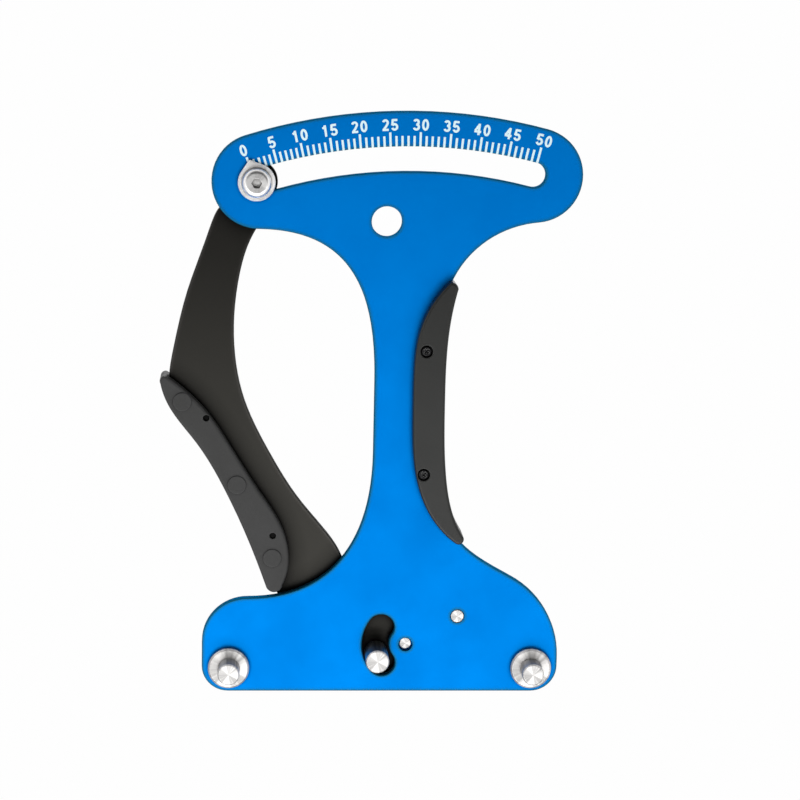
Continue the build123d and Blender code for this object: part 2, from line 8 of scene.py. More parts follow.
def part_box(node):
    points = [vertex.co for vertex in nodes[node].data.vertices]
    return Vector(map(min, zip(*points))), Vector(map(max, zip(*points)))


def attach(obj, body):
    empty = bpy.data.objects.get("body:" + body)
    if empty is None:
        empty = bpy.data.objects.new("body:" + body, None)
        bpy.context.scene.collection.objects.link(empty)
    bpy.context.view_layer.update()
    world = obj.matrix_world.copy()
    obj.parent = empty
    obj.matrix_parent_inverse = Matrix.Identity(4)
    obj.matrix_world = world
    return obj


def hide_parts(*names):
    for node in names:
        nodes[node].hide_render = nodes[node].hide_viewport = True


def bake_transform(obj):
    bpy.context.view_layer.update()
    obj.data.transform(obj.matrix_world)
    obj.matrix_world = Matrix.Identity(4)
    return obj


# Spoke tension meter. Lengths are in metres, X runs to the right, Y to the rear and Z up the neck.
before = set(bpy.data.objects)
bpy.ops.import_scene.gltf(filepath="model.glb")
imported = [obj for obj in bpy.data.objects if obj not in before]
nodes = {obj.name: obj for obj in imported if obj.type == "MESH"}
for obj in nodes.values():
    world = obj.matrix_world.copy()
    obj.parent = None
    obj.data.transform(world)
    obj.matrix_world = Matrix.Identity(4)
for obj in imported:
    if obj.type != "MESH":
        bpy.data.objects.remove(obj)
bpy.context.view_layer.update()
scene = bpy.context.scene
scene.view_settings.view_transform = "Standard"
print("frame loaded:", len(nodes), "pieces")

cameraView = {
    "target": (0.005469, -0.0015, -0.05899),
    "distance": 0.75196,
    "above": 10.71,  # this, the turn from the left and the roll in degrees
    "fromLeft": 4.0,
    "roll": 1.25,
    "lens": 102.461,
    "sensorWidth": 36.0,
}


def makeCamera(view):
    above, left = radians(view["above"]), radians(view["fromLeft"])
    back = Vector((-cos(above) * sin(left), -cos(above) * cos(left), sin(above)))
    roll = Quaternion((0, 0, 1), radians(view["roll"]))
    camera = bpy.data.objects.new("camera", bpy.data.cameras.new("camera"))
    camera.data.lens = view["lens"]
    camera.data.sensor_width = view["sensorWidth"]
    camera.location = Vector(view["target"]) + back * view["distance"]
    camera.rotation_mode = "QUATERNION"
    camera.rotation_quaternion = back.to_track_quat("Z", "Y") @ roll
    scene.collection.objects.link(camera)
    scene.camera = camera


makeCamera(cameraView)
print("camera placed")


# helpers for nodes, which link a value that is a socket and set any other
def feed(tree, value, socket):
    if isinstance(value, bpy.types.NodeSocket):
        tree.links.new(value, socket)
    else:
        socket.default_value = value


def addNode(tree, kind, **values):
    # each name is a property of the node, the name of a socket, or i and a socket's number
    node = tree.nodes.new(kind)
    for name, value in values.items():
        if hasattr(node, name):
            setattr(node, name, value)
        elif name[0] == "i" and name[1:].isdigit():
            feed(tree, value, node.inputs[int(name[1:])])
        else:
            feed(tree, value, node.inputs[name.replace("_", " ")])
    return node


def calc(tree, operation, first, second=0.0, third=0.0, clamp=False):
    node = addNode(
        tree, "ShaderNodeMath",
        operation=operation, use_clamp=clamp, i0=first, i1=second, i2=third,
    )
    return node.outputs[0]


def calcVector(tree, operation, first, second=(0.0, 0.0, 0.0)):
    node = addNode(tree, "ShaderNodeVectorMath", operation=operation, i0=first, i1=second)
    return node.outputs["Value"] if operation in ("LENGTH", "DOT_PRODUCT") else node.outputs["Vector"]


def mixColor(tree, factor, first, second, blend="MIX"):
    # this node has several sockets of one name, so its identifiers tell them apart
    node = addNode(tree, "ShaderNodeMix", data_type="RGBA", blend_type=blend)
    sockets = {socket.identifier: socket for socket in (*node.inputs, *node.outputs)}
    for name, value in (("Factor_Float", factor), ("A_Color", first), ("B_Color", second)):
        feed(tree, value, sockets[name])
    return sockets["Result_Color"]


def ramp(tree, value, low, high, start=0.0, end=1.0):
    node = addNode(
        tree, "ShaderNodeMapRange",
        Value=value, From_Min=low, From_Max=high, To_Min=start, To_Max=end,
    )
    return node.outputs["Result"]


def newGroup(name, inputs, outputs):
    # an input whose value has three numbers is a vector
    group = bpy.data.node_groups.new(name, "ShaderNodeTree")
    for label, value in inputs.items():
        kind = "NodeSocketVector" if isinstance(value, tuple) else "NodeSocketFloat"
        socket = group.interface.new_socket(label, in_out="INPUT", socket_type=kind)
        socket.default_value = value
    for label, kind in outputs.items():
        group.interface.new_socket(label, in_out="OUTPUT", socket_type=kind)
    return group, group.nodes.new("NodeGroupInput").outputs, group.nodes.new("NodeGroupOutput").inputs


def putOut(group, out, **results):
    for name, socket in results.items():
        group.links.new(socket, out[name])
    return group


def useGroup(tree, group, **values):
    node = addNode(tree, "ShaderNodeGroup", node_tree=group)
    for name, value in values.items():
        feed(tree, value, node.inputs[name])
    return node.outputs


# effects that several finishes share
grainEffect = {
    "fine": {"Detail": 3.0, "Roughness": 0.6},
    "blotch": {"Detail": 4.0, "Roughness": 0.55},
}


def makeGrainGroup(effect):
    # fine grain with slow blotches under it, for blasted, plated and moulded surfaces
    group, given, out = newGroup(
        "surfaceGrain",
        {"fineScale": 4000.0, "blotchScale": 90.0},
        {"grain": "NodeSocketFloat", "blotch": "NodeSocketFloat"},
    )
    place = addNode(group, "ShaderNodeTexCoord").outputs["Object"]
    fine, blotch = [
        addNode(group, "ShaderNodeTexNoise", Vector=place, Scale=given[kind + "Scale"], **effect[kind])
        for kind in ("fine", "blotch")
    ]
    return putOut(group, out, grain=fine.outputs["Fac"], blotch=blotch.outputs["Fac"])


edgeEffect = {
    "samples": 6,
    "patchNoise": {"Scale": 700.0, "Detail": 4.0},
    "edgeGain": 7.0,
    "nearGain": 20.0,
    "wallFrom": 0.95,  # how much of its normal lies along Y where a face begins to be a wall
    "wallFull": 0.75,
}


def makeEdgeGroup(effect):
    # edges broken up in patches, which the finishes paint lighter as wear and painted highlight, the strip
    # beside them and walls square to the face, which the anodised finish paints as painted shade on the blue
    # and painted highlight on the black, and the normal rounded over an edge
    group, given, out = newGroup(
        "edgeSoftness",
        {"width": 0.0003, "breakup": 0.4, "reach": 0.0009},
        {
            "edge": "NodeSocketFloat", "near": "NodeSocketFloat", "wall": "NodeSocketFloat",
            "rounded": "NodeSocketVector",
        },
    )
    flat = addNode(group, "ShaderNodeNewGeometry").outputs["Normal"]
    rounded, wide = [
        addNode(group, "ShaderNodeBevel", samples=effect["samples"], Radius=given[size]).outputs["Normal"]
        for size in ("width", "reach")
    ]
    turned, turnedWide = [
        calc(group, "SUBTRACT", 1.0, calcVector(group, "DOT_PRODUCT", normal, flat))
        for normal in (rounded, wide)
    ]
    place = addNode(group, "ShaderNodeTexCoord").outputs["Object"]
    noise = addNode(group, "ShaderNodeTexNoise", Vector=place, **effect["patchNoise"]).outputs["Fac"]
    patchiness = calc(group, "MULTIPLY_ADD", calc(group, "SUBTRACT", noise, 0.5), given["breakup"], 1.0)
    edge = calc(group, "MULTIPLY", turned, effect["edgeGain"], clamp=True)
    facing = calc(group, "ABSOLUTE", addNode(group, "ShaderNodeSeparateXYZ", Vector=flat).outputs["Y"])
    return putOut(
        group, out,
        edge=calc(group, "MULTIPLY", edge, patchiness, clamp=True),
        near=calc(group, "MULTIPLY", turnedWide, effect["nearGain"], clamp=True),
        wall=ramp(group, facing, effect["wallFrom"], effect["wallFull"]),
        rounded=rounded,
    )


paintedShadeEffect = {"samples": 8}


def makePaintedShadeGroup(effect):
    # 1 in the open and 0 down in holes, joints and corners, where the finishes darken their colour as
    # painted shade
    group, given, out = newGroup(
        "openness", {"distance": 0.0015, "closed": 0.5}, {"open": "NodeSocketFloat"},
    )
    around = addNode(group, "ShaderNodeAmbientOcclusion", Distance=given["distance"], **effect).outputs["AO"]
    return putOut(group, out, open=ramp(group, around, given["closed"], 1.0))


ringEffect = {
    "waveHeight": 0.25,
    "waveLevel": 0.5,
    "streakPace": 0.45,
    "streak": {"Detail": 3.0},
    "fan": {"Scale": 1.7, "Detail": 2.0, "Roughness": 0.6},
}


def makeRingGroup(effect):
    # tool marks left by a lathe, round an axis along Y through the centre
    group, given, out = newGroup(
        "turningMarks",
        {"centre": (0.0, 0.0, 0.0), "pitch": 0.0003},
        {"rings": "NodeSocketFloat", "streaks": "NodeSocketFloat", "sectors": "NodeSocketFloat"},
    )
    place = addNode(group, "ShaderNodeTexCoord").outputs["Object"]
    away = calcVector(group, "SUBTRACT", place, given["centre"])
    apart = addNode(group, "ShaderNodeSeparateXYZ", Vector=away).outputs
    flat = addNode(group, "ShaderNodeCombineXYZ", X=apart["X"], Z=apart["Z"]).outputs[0]
    radius = calcVector(group, "LENGTH", flat)
    step = calc(group, "DIVIDE", calc(group, "ADD", radius, apart["Y"]), given["pitch"])
    wave = calc(group, "SINE", calc(group, "MULTIPLY", step, 2 * pi))
    groove = calc(group, "MULTIPLY_ADD", wave, effect["waveHeight"], effect["waveLevel"])
    slow = calc(group, "MULTIPLY", step, effect["streakPace"])
    streaks = addNode(group, "ShaderNodeTexNoise", noise_dimensions="1D", W=slow, **effect["streak"])
    uneven = streaks.outputs["Fac"]
    # light caught in bow ties, which a faced end shows round its middle, painted into the colour as lighter
    # and darker sectors: a painted reflection
    way = calcVector(group, "NORMALIZE", flat)
    fan = addNode(group, "ShaderNodeTexNoise", Vector=way, **effect["fan"]).outputs["Fac"]
    return putOut(group, out, rings=calc(group, "MULTIPLY", groove, uneven), streaks=uneven, sectors=fan)


grainGroup = makeGrainGroup(grainEffect)
edgeGroup = makeEdgeGroup(edgeEffect)
paintedShadeGroup = makePaintedShadeGroup(paintedShadeEffect)
ringGroup = makeRingGroup(ringEffect)
print("shared effects built")

# the levels of a noise between which a colour or a roughness goes from one value to the other
colorLevels = (0.35, 0.65)
roughnessLevels = (0.3, 0.7)


def newMaterial(name):
    material = bpy.data.materials.new(name)
    material.use_nodes = True
    tree = material.node_tree
    shader = next(node for node in tree.nodes if node.type == "BSDF_PRINCIPLED")
    return material, tree, shader


def finishShader(tree, shader, **values):
    for name, value in values.items():
        feed(tree, value, shader.inputs[name.replace("_", " ")])


def placeGrain(tree, look):
    return useGroup(tree, grainGroup, fineScale=look["fineScale"], blotchScale=look["blotchScale"])


def placeEdge(tree, look, **more):
    return useGroup(tree, edgeGroup, width=look["edgeWidth"], breakup=look["breakup"], **more)


# painted shade: the colour goes towards a darker painted-shade colour down in holes, joints and corners
def paintCreviceShade(tree, look, color):
    around = useGroup(tree, paintedShadeGroup, distance=look["paintedShadeDistance"], closed=look["paintedShadeClosed"])
    return mixColor(tree, around["open"], look["paintedShade"], color)


def bumpOver(tree, look, height, normal):
    node = addNode(
        tree, "ShaderNodeBump",
        Height=height, Normal=normal, Strength=look["bump"], Distance=look["bumpDepth"],
    )
    return node.outputs["Normal"]


blueDye = {
    "color": (0.0, 0.194, 0.610, 1),
    "deep": (0.0, 0.171, 0.546, 1),
    # painted shade on the plate's walls and along its edges
    "edge": (0.010, 0.130, 0.24, 1),
    "tint": (0.02, 0.35, 0.50, 1),
    "blotchShare": 0.35,
    "dustLevels": (0.55, 0.8),
    "dustShare": 0.3,
    "roughness": (0.57, 0.62),
    "fineScale": 5200.0,
    "blotchScale": 45.0,
    "edgeWidth": 0.00035,
    "edgeReach": 0.0018,
    "breakup": 0.5,
    # painted shade, dark blue, in the corners beside the collars and grips and down the slot's walls
    "paintedShade": (0.0, 0.085, 0.310, 1),
    "paintedShadeDistance": 0.0013,
    "paintedShadeClosed": 0.40,
    "bump": 0.16,
    "bumpDepth": 0.00003,
}
blackDye = dict(
    blueDye,
    # its edge colour, lighter than the body, is a painted highlight along the lever's rims and walls
    color=(0.0295, 0.0285, 0.0255, 1), deep=(0.0245, 0.0235, 0.0217, 1), edge=(0.050, 0.048, 0.045, 1),
    tint=(0.30, 0.30, 0.30, 1), roughness=(0.29, 0.33),
    # painted shade, near black and reaching 7 mm, over the lever seen through the slot, beside the grips and
    # under the plate's edge
    paintedShade=(0.002, 0.002, 0.002, 1), paintedShadeDistance=0.0070,
)


def makeAnodised(name, look):
    # dyed metal, its walls and rims painted darker as painted shade on the blue and lighter as painted
    # highlight on the black, and its hollows darkened as painted shade
    material, tree, shader = newMaterial(name)
    grain = placeGrain(tree, look)
    edge = placeEdge(tree, look, reach=look["edgeReach"])
    blotches = ramp(tree, grain["blotch"], *colorLevels, 0.0, look["blotchShare"])
    dust = ramp(tree, grain["grain"], *look["dustLevels"], 0.0, look["dustShare"])
    body = mixColor(tree, dust, mixColor(tree, blotches, look["color"], look["deep"]), look["deep"])
    paintedRims = mixColor(tree, calc(tree, "MAXIMUM", edge["wall"], edge["near"]), body, look["edge"])
    finishShader(
        tree, shader,
        Base_Color=paintCreviceShade(tree, look, paintedRims),
        Roughness=ramp(tree, grain["blotch"], *roughnessLevels, *look["roughness"]),
        Normal=bumpOver(tree, look, grain["grain"], edge["rounded"]),
        Metallic=1.0,
        Specular_Tint=look["tint"],
    )
    return material


steel = {
    "bright": (0.56, 0.55, 0.54, 1),
    "shade": (0.50, 0.49, 0.48, 1),
    # the edge colour is a painted highlight on the chamfered rims, in patches like wear
    "edge": (0.95, 0.95, 0.95, 1),
    "fan": 0.36,
    "fanLevels": (0.38, 0.58),
    "pitch": 0.00022,
    "roughness": (0.42, 0.52),
    "anisotropy": 0.6,
    "edgeWidth": 0.0003,
    "breakup": 0.3,
    # painted shade at the joints of the posts and collars
    "paintedShade": (0.16, 0.16, 0.16, 1),
    "paintedShadeDistance": 0.0005,
    "paintedShadeClosed": 0.35,
    "bump": 0.25,
    "bumpDepth": 0.00001,
}
# a copy of the turned steel for the pointer and its screw, painted lighter to stand in for the light that
# reaches the head of the plate less
steelWithPaintedLight = dict(
    steel, bright=(0.86, 0.85, 0.84, 1), shade=(0.74, 0.73, 0.72, 1),
    fan=0.12, anisotropy=0.4, edgeWidth=0.0001,
)
# the screw's copy is smoother, with a lighter painted shade round its socket and rim
polished = dict(steelWithPaintedLight, roughness=(0.33, 0.41), paintedShade=(0.32, 0.31, 0.30, 1), paintedShadeDistance=0.0010)
# its edge colour too is a painted highlight on the rims
brass = dict(
    steel, bright=(0.78, 0.57, 0.27, 1), shade=(0.55, 0.38, 0.16, 1), edge=(0.88, 0.70, 0.40, 1),
    roughness=(0.28, 0.40), anisotropy=0.5,
)


def middle(node):
    low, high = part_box(node)
    return (low + high) / 2


def makeTurned(name, node, look):
    # metal off the lathe, with its marks round the middle of this node
    material, tree, shader = newMaterial(name)
    rings = useGroup(tree, ringGroup, centre=middle(node), pitch=look["pitch"])
    edge = placeEdge(tree, look)
    streaked = mixColor(tree, ramp(tree, rings["streaks"], *colorLevels), look["bright"], look["shade"])
    # painted reflection: the sectors lighten and darken the colour round the middle
    fan = ramp(tree, rings["sectors"], *look["fanLevels"], 1.0 - look["fan"], 1.0 + look["fan"] / 2)
    gray = addNode(tree, "ShaderNodeCombineColor", i0=fan, i1=fan, i2=fan).outputs[0]
    body = mixColor(tree, 1.0, streaked, gray, "MULTIPLY")
    finishShader(
        tree, shader,
        # painted highlight on the rims and painted shade in the joints
        Base_Color=paintCreviceShade(tree, look, mixColor(tree, edge["edge"], body, look["edge"])),
        Roughness=ramp(tree, rings["streaks"], *roughnessLevels, *look["roughness"]),
        Normal=bumpOver(tree, look, rings["rings"], edge["rounded"]),
        Tangent=addNode(tree, "ShaderNodeTangent", direction_type="RADIAL", axis="Y").outputs[0],
        Metallic=1.0,
        Anisotropic=look["anisotropy"],
    )
    return material


zinc = {
    "bright": (0.60, 0.62, 0.64, 1),
    "shade": (0.42, 0.44, 0.47, 1),
    "edge": (0.80, 0.81, 0.82, 1),
    "roughness": (0.28, 0.44),
    "fineScale": 2600.0,
    "blotchScale": 500.0,
    "edgeWidth": 0.0002,
    "breakup": 0.8,
    "bump": 0.2,
    "bumpDepth": 0.00002,
}
drawnWire = dict(
    zinc, bright=(0.36, 0.36, 0.37, 1), shade=(0.22, 0.22, 0.23, 1), edge=(0.50, 0.50, 0.50, 1),
)
# the black oxide's light edge colour is a painted highlight on the cross slots and rims, in patches like
# wear
oxide = dict(
    zinc, bright=(0.022, 0.022, 0.023, 1), shade=(0.012, 0.012, 0.013, 1), edge=(0.34, 0.34, 0.33, 1),
)
# a near-black copy of the oxide for the screws down in the lever grip's holes: painted shade that keeps the
# holes black
oxideWithPaintedShade = dict(
    zinc, bright=(0.005, 0.005, 0.005, 1), shade=(0.003, 0.003, 0.003, 1), edge=(0.02, 0.02, 0.02, 1),
)


def makePlated(name, look):
    material, tree, shader = newMaterial(name)
    grain = placeGrain(tree, look)
    edge = placeEdge(tree, look)
    body = mixColor(tree, ramp(tree, grain["blotch"], *colorLevels), look["bright"], look["shade"])
    finishShader(
        tree, shader,
        # lighter edges: patchy wear and a painted highlight on the rims
        Base_Color=mixColor(tree, edge["edge"], body, look["edge"]),
        Roughness=ramp(tree, grain["blotch"], *roughnessLevels, *look["roughness"]),
        Normal=bumpOver(tree, look, grain["grain"], edge["rounded"]),
        Metallic=1.0,
    )
    return material


mattGrip = {
    "bright": (0.034, 0.034, 0.034, 1),
    "shade": (0.027, 0.027, 0.026, 1),
    "edge": (0.090, 0.090, 0.090, 1),
    # share of the edge colour: rubbing wear and painted highlight on the rounded edges
    "rubbedAndSheen": 0.6,
    "roughness": (0.52, 0.66),
    "specular": 0.35,
    "fineScale": 2300.0,
    "blotchScale": 60.0,
    "edgeWidth": 0.0005,
    "breakup": 0.6,
    # painted shade, near black, down the screw holes, round the raised marks and in the grips' corners
    "paintedShade": (0.002, 0.002, 0.002, 1),
    "paintedShadeDistance": 0.0014,
    "paintedShadeClosed": 0.55,
    "bump": 0.5,
    "bumpDepth": 0.00006,
}
smoothGrip = dict(
    mattGrip,
    bright=(0.0105, 0.0110, 0.0095, 1), shade=(0.0075, 0.0080, 0.0068, 1), edge=(0.05, 0.05, 0.05, 1),
    roughness=(0.34, 0.42), bump=0.25,
)
nylon = dict(
    mattGrip, bright=(0.78, 0.76, 0.70, 1), shade=(0.70, 0.68, 0.62, 1), edge=(0.85, 0.84, 0.80, 1),
    # painted shade, pale, in the bush's corners
    paintedShade=(0.20, 0.19, 0.17, 1),
)


def makeMoulded(name, look):
    material, tree, shader = newMaterial(name)
    grain = placeGrain(tree, look)
    edge = placeEdge(tree, look)
    body = mixColor(tree, ramp(tree, grain["blotch"], *colorLevels), look["bright"], look["shade"])
    # lighter edges: rubbing wear and a painted highlight
    rubbedAndSheen = mixColor(tree, calc(tree, "MULTIPLY", edge["edge"], look["rubbedAndSheen"]), body, look["edge"])
    finishShader(
        tree, shader,
        Base_Color=paintCreviceShade(tree, look, rubbedAndSheen),
        Roughness=ramp(tree, grain["grain"], *roughnessLevels, *look["roughness"]),
        Normal=bumpOver(tree, look, grain["grain"], edge["rounded"]),
        Specular_IOR_Level=look["specular"],
    )
    return material


ink = {
    "color": (0.74, 0.93, 0.98, 1),
    "thin": (0.55, 0.78, 0.90, 1),
    "thinLevels": (0.6, 0.8),
    "fineScale": 6000.0,
    "roughness": 0.55,
}


def makeInk(name, look):
    material, tree, shader = newMaterial(name)
    grain = useGroup(tree, grainGroup, fineScale=look["fineScale"])
    thinness = ramp(tree, grain["grain"], *look["thinLevels"])
    finishShader(
        tree, shader,
        Base_Color=mixColor(tree, thinness, look["color"], look["thin"]),
        Roughness=look["roughness"],
    )
    return material


def dress(material, *names):
    for name in names:
        nodes[name].data.materials.clear()
        nodes[name].data.materials.append(material)


dress(makeAnodised("blueAnodised", blueDye), "body_plate")
dress(makeAnodised("blackAnodised", blackDye), "lever_plate")
dress(
    makePlated("zincPlate", zinc),
    "fixed_post_washers", "fixed_post_screws", "pivot_washer", "pivot_retaining_ring", "pointer_nut",
)
dress(makePlated("blackOxide", oxide), "body_grip_screws")
# painted shade: the screws down in the lever grip's holes take the darkened copy
dress(makePlated("oxideInPaintedShade", oxideWithPaintedShade), "lever_grip_screws")
dress(makeMoulded("smoothPlastic", smoothGrip), "body_grip_front", "body_grip_rear")
dress(makeMoulded("mattPlastic", mattGrip), "lever_grip_front", "lever_grip_rear")
dress(makeMoulded("paleNylon", nylon), "pointer_bush")
for name in (
    "fixed_post_left", "fixed_post_right", "moving_post",
    "pivot_pin", "spring_anchor_pin", "lever_spring_stud",
):
    dress(makeTurned("turned_" + name, name, steel), name)
for name, look in (("pointer", steelWithPaintedLight), ("pointer_screw", polished)):
    dress(makeTurned("turned_" + name, "pointer_screw", look), name)
for name in ("pivot_spacer", "pivot_bush"):
    dress(makeTurned("brass_" + name, name, brass), name)
springSteel = makePlated("springSteel", drawnWire)
whiteInk = makeInk("whiteInk", ink)
print("finishes applied")

# the scale printed on the head of the plate, with angles in degrees round the pivot
pivot = (0.0091, -0.14285)
scale = {
    "unitsPerNumber": 5,
    "tickAngles": (-18.60, -15.62, -12.60, -9.39, -6.19, -2.89, 0.41, 3.71, 7.05, 10.31, 13.60),
    "slotEdge": 0.1674,
    "chamfer": 0.0003,
    "minorEnd": 0.1708,
    "majorEnd": 0.1720,
    "tickWidth": 0.00074,
    "inkThickness": 0.00003,
    "endRise": 0.00055,
    "riseFrom": 7.0,
    "numberRadius": 0.1744,
    "numberAngles": (-18.72, -15.60, -12.55, -9.36, -6.16, -2.89, 0.41, 3.69, 7.00, 10.29, 13.70),
    "digitHeight": 0.0037,
    "digitStroke": 0.20,  # this and the step are shares of the digit's height
    "digitStep": 0.79,
    "strokeLift": 0.000003,  # keeps the strokes of one digit from lying in one plane
}
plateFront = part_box("body_plate")[0].y


def onDial(angle, radius):
    # the frame of a mark that stands upright on the arc at this angle, seen from the front
    turn = radians(angle)
    out = Vector((sin(turn), 0, cos(turn)))
    right = Vector((cos(turn), 0, -sin(turn)))
    place = Vector((pivot[0], plateFront, pivot[1])) + out * radius
    return Matrix.Translation(place) @ Matrix((right, out, (0, -1, 0))).transposed().to_4x4()


def riseAt(look, angle):
    # the scale leaves the slot's arc a little towards its last number
    start, last = look["riseFrom"], look["tickAngles"][-1]
    return look["endRise"] * max(0.0, (angle - start) / (last - start))


def finishPiece(mesh, name, body, material):
    piece = bpy.data.objects.new(name, mesh)
    scene.collection.objects.link(piece)
    piece.data.materials.append(material)
    if body:
        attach(piece, body)
    return piece


def addRibbon(shape, way, rows, thickness):
    # a strip of ink over rows of (left, right) points, with its sides closed down to the metal
    up = Vector((0, 0, thickness))
    lower = [[shape.verts.new(way @ Vector(point)) for point in row] for row in rows]
    upper = [[shape.verts.new(way @ (Vector(point) + up)) for point in row] for row in rows]
    for index in range(len(rows) - 1):
        (a, b), (d, c) = upper[index], upper[index + 1]
        (e, f), (h, g) = lower[index], lower[index + 1]
        for corners in ((a, b, c, d), (e, a, d, h), (b, f, g, c)):
            shape.faces.new(corners)
    for row in (0, -1):
        shape.faces.new((*lower[row], *upper[row][::-1]))


def finishMarks(shape, name):
    bmesh.ops.recalc_face_normals(shape, faces=shape.faces)
    mesh = bpy.data.meshes.new(name)
    shape.to_mesh(mesh)
    shape.free()
    finishPiece(mesh, name, "frame", whiteInk)


def makeTicks(look):
    # the marks start on the slot's chamfer and run up the face
    shape = bmesh.new()
    half, chamfer = look["tickWidth"] / 2, look["chamfer"]
    angles, units = look["tickAngles"], look["unitsPerNumber"]
    for unit in range(units * (len(angles) - 1) + 1):
        index = min(unit // units, len(angles) - 2)
        angle = angles[index] + (angles[index + 1] - angles[index]) * (unit / units - index)
        end = look["minorEnd"] if unit % units else look["majorEnd"]
        length = end + riseAt(look, angle) - look["slotEdge"]
        profile = [(0.0, -chamfer), (chamfer, 0.0), (length, 0.0)]
        rows = [((-half, y, z), (half, y, z)) for y, z in profile]
        addRibbon(shape, onDial(angle, look["slotEdge"]), rows, look["inkThickness"])
    finishMarks(shape, "dial_ticks")


arcStep = 10  # the most degrees between two points of a digit's arc
mitreLimit = 0.5  # a stroke's corner reaches out no further than its half width over this


def arc(x, y, wide, high, start, end):
    count = ceil(abs(end - start) / arcStep)
    angles = [radians(start + (end - start) * step / count) for step in range(count + 1)]
    return [(x + wide * cos(angle), y + high * sin(angle)) for angle in angles]


# each digit as the middle lines of its strokes, in a cell 1 high and centred across
digitLines = {
    "0": [arc(0, 0.5, 0.205, 0.41, 90, 450)],
    "1": [[(0.06, 0), (0.06, 1)], [(0.07, 0.93), (-0.04, 0.80), (-0.17, 0.735)]],
    "2": [
        arc(0, 0.70, 0.20, 0.21, 165, -30) + [(0.02, 0.34), (-0.17, 0.12)],
        [(-0.27, 0.085), (0.27, 0.085)],
    ],
    "3": [arc(-0.01, 0.715, 0.19, 0.20, 160, -95), arc(-0.01, 0.305, 0.22, 0.22, 95, -160)],
    "4": [[(0.09, 0), (0.09, 1)], [(0.08, 0.93), (-0.24, 0.34)], [(-0.31, 0.30), (0.29, 0.30)]],
    "5": [
        [(-0.16, 0.915), (0.25, 0.915)],
        [(-0.14, 0.98), (-0.20, 0.46)],
        arc(0, 0.32, 0.22, 0.235, 150, -160),
    ],
}


def strokeRows(line, half, height):
    # the two edges of a stroke, square to it at its ends and mitred in between
    points = [Vector(point) for point in line]
    closed = (points[0] - points[-1]).length < 1e-6
    rows = []
    for index, point in enumerate(points):
        before = points[index - 1] if index else points[-2 if closed else 0]
        after = points[index + 1] if index < len(points) - 1 else points[1 if closed else -1]
        ways = [way.normalized() for way in (point - before, after - point) if way.length]
        along = sum(ways, Vector((0, 0))).normalized()
        reach = half / max(along.dot(ways[0]), mitreLimit)
        side = Vector((-along.y, along.x)) * reach
        edges = [(point + offset) * height for offset in (side, -side)]
        rows.append([(*edge, 0.0) for edge in edges])
    return rows


def makeNumbers(look):
    shape = bmesh.new()
    height = look["digitHeight"]
    for index, angle in enumerate(look["numberAngles"]):
        text = str(index * look["unitsPerNumber"])
        radius = look["numberRadius"] + riseAt(look, angle)
        for place, digit in enumerate(text):
            across = (place - (len(text) - 1) / 2) * look["digitStep"] * height
            way = onDial(angle, radius) @ Matrix.Translation((across, -height / 2, 0))
            for level, line in enumerate(digitLines[digit]):
                rows = strokeRows(line, look["digitStroke"] / 2, height)
                addRibbon(shape, way, rows, look["inkThickness"] + level * look["strokeLift"])
    finishMarks(shape, "dial_numbers")


makeTicks(scale)
makeNumbers(scale)
print("scale printed")

# the return spring
spring = {
    "coilRadius": 0.0062,
    "wireRadius": 0.0009,
    "pitch": 0.0028,
    "front": 0.0063,
    "flatAngle": 45.0,  # how far the first and the last turn lie flat, in degrees
    "legAngle": 150.0,
    "legReach": 0.0200,
    "anchor": (0.0264, -0.13295),
    "anchorRadius": 0.00235,
    "legClearance": 0.0002,
    "legOverrun": 0.0030,
    "fullTurns": 3,
    "pointsPerTurn": 48,
    "roundness": 4,
}


def springLine(look):
    # the middle line of the wire, from the tip of the lever's leg to the tip of the frame's leg
    radius = look["coilRadius"]
    reachX, reachZ = look["anchor"][0] - pivot[0], look["anchor"][1] - pivot[1]
    offset = radius + look["wireRadius"] + look["legClearance"] + look["anchorRadius"]
    straight = sqrt(reachX**2 + reachZ**2 - offset**2)
    endWay = atan2(reachZ, reachX) + atan2(offset, straight)
    start = radians(look["legAngle"] + 90)
    sweep = (endWay - pi / 2 - start) % (2 * pi) + 2 * pi * look["fullTurns"]
    count = round(sweep / (2 * pi) * look["pointsPerTurn"])
    flatPart = radians(look["flatAngle"])
    rising = sweep - 2 * flatPart
    climb = look["pitch"] * rising / (2 * pi)
    line = []
    for step in range(count + 1):
        turn = sweep * step / count
        depth = look["front"] + min(max((turn - flatPart) / rising, 0), 1) * climb
        angle = start + turn
        line.append(Vector((pivot[0] + radius * cos(angle), depth, pivot[1] + radius * sin(angle))))
    firstWay, lastWay = [Vector((-sin(angle), 0, cos(angle))) for angle in (start, start + sweep)]
    line.insert(0, line[0] - firstWay * look["legReach"])
    line.append(line[-1] + lastWay * (straight + look["legOverrun"]))
    return line, climb


def makeSpring(look):
    line, climb = springLine(look)
    wireRadius = look["wireRadius"]
    curve = bpy.data.curves.new("torsion_spring_wire", "CURVE")
    curve.dimensions = "3D"
    curve.bevel_depth = wireRadius
    curve.bevel_resolution = look["roundness"]
    curve.use_fill_caps = True
    spline = curve.splines.new("POLY")
    spline.points.add(len(line) - 1)
    for point, place in zip(spline.points, line):
        point.co = (*place, 1)
    holder = bpy.data.objects.new("torsion_spring_wire", curve)
    scene.collection.objects.link(holder)
    bpy.context.view_layer.update()
    mesh = bpy.data.meshes.new_from_object(holder.evaluated_get(bpy.context.evaluated_depsgraph_get()))
    bpy.data.objects.remove(holder)
    mesh.materials.clear()
    for polygon in mesh.polygons:
        polygon.use_smooth = True
    piece = finishPiece(mesh, "return_spring", None, springSteel)
    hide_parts("torsion_spring")
    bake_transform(piece)


makeSpring(spring)
print("spring wound")

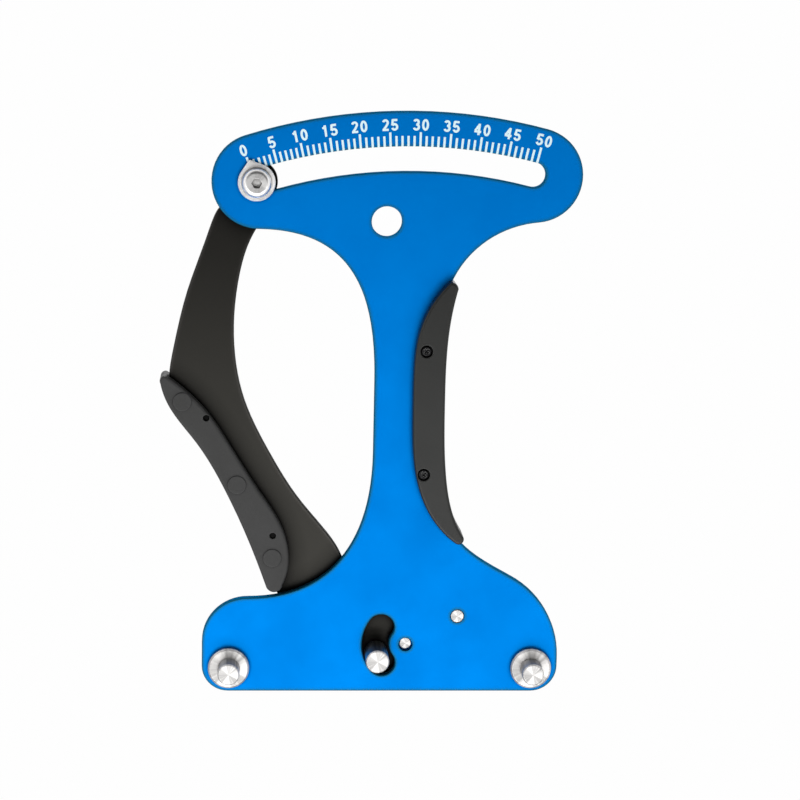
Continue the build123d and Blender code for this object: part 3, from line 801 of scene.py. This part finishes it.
# a pale floor far below, a white surround and soft lamps
stage = {
    "floorHeight": -1.0,
    "floorSize": 400.0,
    "floorParts": 4,
    "floorColor": (0.82, 0.82, 0.82, 1),
    "floorRoughness": 0.9,
    "floorGlow": 0.985,
    "surround": (1, 1, 1, 1),
    "ambient": 0.45,
}


def seenDirectly(tree):
    # 1 for the rays that show the background itself, straight or in a reflection
    path = addNode(tree, "ShaderNodeLightPath").outputs
    seen = calc(tree, "MAXIMUM", path["Is Camera Ray"], path["Is Glossy Ray"])
    return calc(tree, "MAXIMUM", seen, path["Is Transmission Ray"])


def makeFloor(look):
    shape = bmesh.new()
    parts = look["floorParts"]
    bmesh.ops.create_grid(shape, x_segments=parts, y_segments=parts, size=look["floorSize"] / 2)
    mesh = bpy.data.meshes.new("floor")
    shape.to_mesh(mesh)
    shape.free()
    floor = bpy.data.objects.new("floor", mesh)
    floor.location.z = look["floorHeight"]
    scene.collection.objects.link(floor)
    material, tree, shader = newMaterial("paleFloor")
    finishShader(tree, shader, Base_Color=look["floorColor"], Roughness=look["floorRoughness"])
    glow = addNode(tree, "ShaderNodeEmission", Strength=1.0)
    share = calc(tree, "MULTIPLY", seenDirectly(tree), look["floorGlow"])
    mixed = addNode(tree, "ShaderNodeMixShader", i0=share, i1=shader.outputs[0], i2=glow.outputs[0])
    output = next(node for node in tree.nodes if node.type == "OUTPUT_MATERIAL")
    tree.links.new(mixed.outputs[0], output.inputs["Surface"])
    floor.data.materials.append(material)


def makeWorld(look):
    world = bpy.data.worlds.new("studio")
    scene.world = world
    world.use_nodes = True
    tree = world.node_tree
    background = next(node for node in tree.nodes if node.type == "BACKGROUND")
    background.inputs["Color"].default_value = look["surround"]
    strength = ramp(tree, seenDirectly(tree), 0.0, 1.0, look["ambient"], 1.0)
    tree.links.new(strength, background.inputs["Strength"])


darkCards = {
    "behindCamera": {"x": (-0.40, 0.50), "y": -0.9, "z": (-0.38, 0.12)},
    "aboveCamera": {"x": (-0.90, 0.90), "y": -0.9, "z": (0.12, 1.40)},
}
cardColor = (0.02, 0.02, 0.02, 1)


def makeDarkCard(name, look):
    # a black card outside the picture, which only shows in the metal as its darker side
    (left, right), (low, high) = look["x"], look["z"]
    corners = [(x, look["y"], z) for x, z in ((left, low), (right, low), (right, high), (left, high))]
    mesh = bpy.data.meshes.new(name)
    mesh.from_pydata(corners, [], [(0, 1, 2, 3)])
    card = bpy.data.objects.new(name, mesh)
    scene.collection.objects.link(card)
    material, tree, shader = newMaterial(name)
    finishShader(tree, shader, Base_Color=cardColor, Roughness=1.0, Specular_IOR_Level=0.0)
    card.data.materials.append(material)
    card.visible_camera = card.visible_diffuse = card.visible_shadow = card.visible_transmission = False


lamps = {
    "key": {"place": (-0.10, -0.90, -0.70), "aim": (0.0, 0.0, -0.10), "size": (1.00, 0.46), "power": 6.3},
    "low": {"place": (-0.04, -0.42, -0.16), "aim": (-0.04, 0.0, -0.085), "size": (0.6, 0.14), "power": 0.38},
    "left": {"place": (-0.75, -0.55, 0.10), "aim": (0.0, 0.0, -0.06), "size": (0.5, 0.8), "power": 0.70},
    "right": {"place": (0.80, -0.45, 0.15), "aim": (0.0, 0.0, -0.06), "size": (0.5, 0.8), "power": 0.4},
    "back": {"place": (0.10, 0.9, 0.45), "aim": (0.0, 0.0, -0.06), "size": (0.8, 0.8), "power": 3.0},
}


def makeLamp(name, look):
    light = bpy.data.lights.new(name, "AREA")
    light.shape = "RECTANGLE"
    light.size, light.size_y = look["size"]
    light.energy = look["power"]
    lamp = bpy.data.objects.new(name, light)
    lamp.location = look["place"]
    lamp.rotation_mode = "QUATERNION"
    lamp.rotation_quaternion = (Vector(look["place"]) - Vector(look["aim"])).to_track_quat("Z", "Y")
    lamp.visible_camera = False
    scene.collection.objects.link(lamp)


makeFloor(stage)
makeWorld(stage)
for name, look in darkCards.items():
    makeDarkCard(name, look)
for name, look in lamps.items():
    makeLamp(name, look)
print("stage lit")

bpy.context.view_layer.update()
